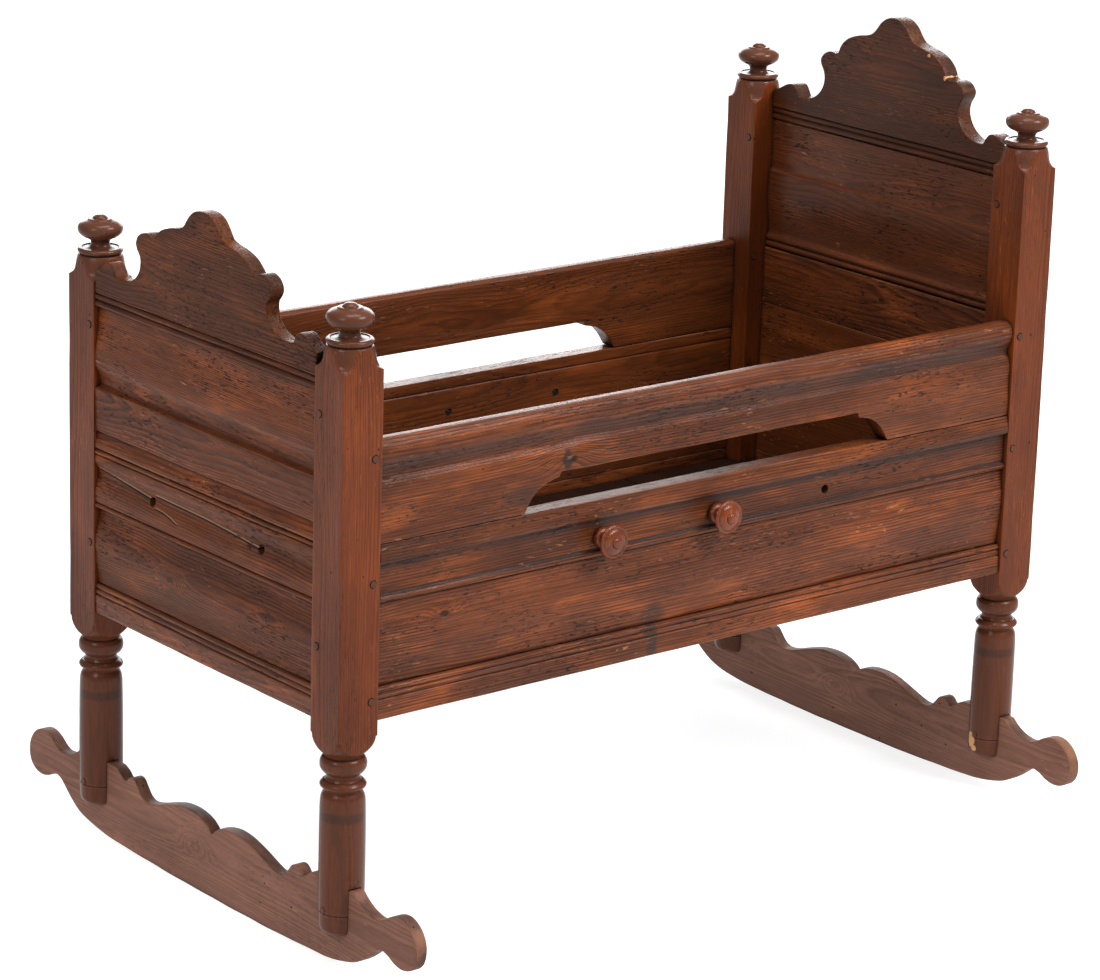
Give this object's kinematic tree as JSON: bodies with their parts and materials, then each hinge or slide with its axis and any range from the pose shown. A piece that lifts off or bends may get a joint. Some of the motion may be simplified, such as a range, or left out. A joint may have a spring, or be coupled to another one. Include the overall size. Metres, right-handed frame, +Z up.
{
  "type": "baby cradle",
  "caption": "Joined wooden cradle with turned corner posts, moulded board sides, scrolled head and foot boards, lacing knobs and two scrolled rockers to rock a baby in.",
  "frame": {"origin": "on the floor, under the middle of the cradle", "axes": "+X from the low foot end to the tall head end, +Y from the front with the knobs to the back, +Z up"},
  "size_m": [0.9976, 0.7402, 0.8814],
  "materials": {
    "post_wood": "dark red-brown waxed softwood, worn arrises",
    "board_wood": "red-brown waxed softwood with raised grain",
    "rocker_wood": "dusty matt brown, pale worn edges",
    "knob_wood": "polished red-brown turned wood",
    "peg_wood": "dark dry end grain",
    "floor_wood": "unfinished sawn board"
  },
  "bodies": {
    "cradle": {"back_bottom_rail": "board_wood", "back_lower_panel": "board_wood", "back_mid_rail": "board_wood", "back_top_rail": "board_wood", "floor_board_1": "floor_wood", "floor_board_2": "floor_wood", "floor_board_3": "floor_wood", "floor_board_4": "floor_wood", "floor_board_5": "floor_wood", "foot_bottom_rail": "board_wood", "foot_crest_rail": "board_wood", "foot_lower_panel": "board_wood", "foot_mid_rail": "board_wood", "foot_upper_panel": "board_wood", "front_bottom_rail": "board_wood", "front_lower_panel": "board_wood", "front_mid_rail": "board_wood", "front_top_rail": "board_wood", "head_bottom_rail": "board_wood", "head_crest_rail": "board_wood", "head_lower_panel": "board_wood", "head_mid_rail": "board_wood", "head_upper_panel": "board_wood", "ledger_back": "floor_wood", "ledger_front": "floor_wood", "peg_foot_back_end_high": "peg_wood", "peg_foot_back_end_low": "peg_wood", "peg_foot_back_rocker": "peg_wood", "peg_foot_back_side_high": "peg_wood", "peg_foot_back_side_low": "peg_wood", "peg_foot_back_side_middle": "peg_wood", "peg_foot_front_end_high": "peg_wood", "peg_foot_front_end_low": "peg_wood", "peg_foot_front_rocker": "peg_wood", "peg_foot_front_side_high": "peg_wood", "peg_foot_front_side_low": "peg_wood", "peg_foot_front_side_middle": "peg_wood", "peg_head_back_end_high": "peg_wood", "peg_head_back_end_low": "peg_wood", "peg_head_back_rocker": "peg_wood", "peg_head_back_side_high": "peg_wood", "peg_head_back_side_low": "peg_wood", "peg_head_back_side_middle": "peg_wood", "peg_head_front_end_high": "peg_wood", "peg_head_front_end_low": "peg_wood", "peg_head_front_rocker": "peg_wood", "peg_head_front_side_high": "peg_wood", "peg_head_front_side_low": "peg_wood", "peg_head_front_side_middle": "peg_wood", "post_foot_back": "post_wood", "post_foot_front": "post_wood", "post_head_back": "post_wood", "post_head_front": "post_wood", "rocker_foot": "rocker_wood", "rocker_head": "rocker_wood"},
    "knob_left": {"knob_left": "knob_wood"},
    "knob_middle": {"knob_middle": "knob_wood"}
  },
  "joints": [
    {"name": "knob_left_pull", "type": "slide", "parent": "cradle", "child": "knob_left", "axis": [0, -1, 0], "range_m": [0, 0.024]},
    {"name": "knob_middle_pull", "type": "slide", "parent": "cradle", "child": "knob_middle", "axis": [0, -1, 0], "range_m": [0, 0.024]}
  ]
}
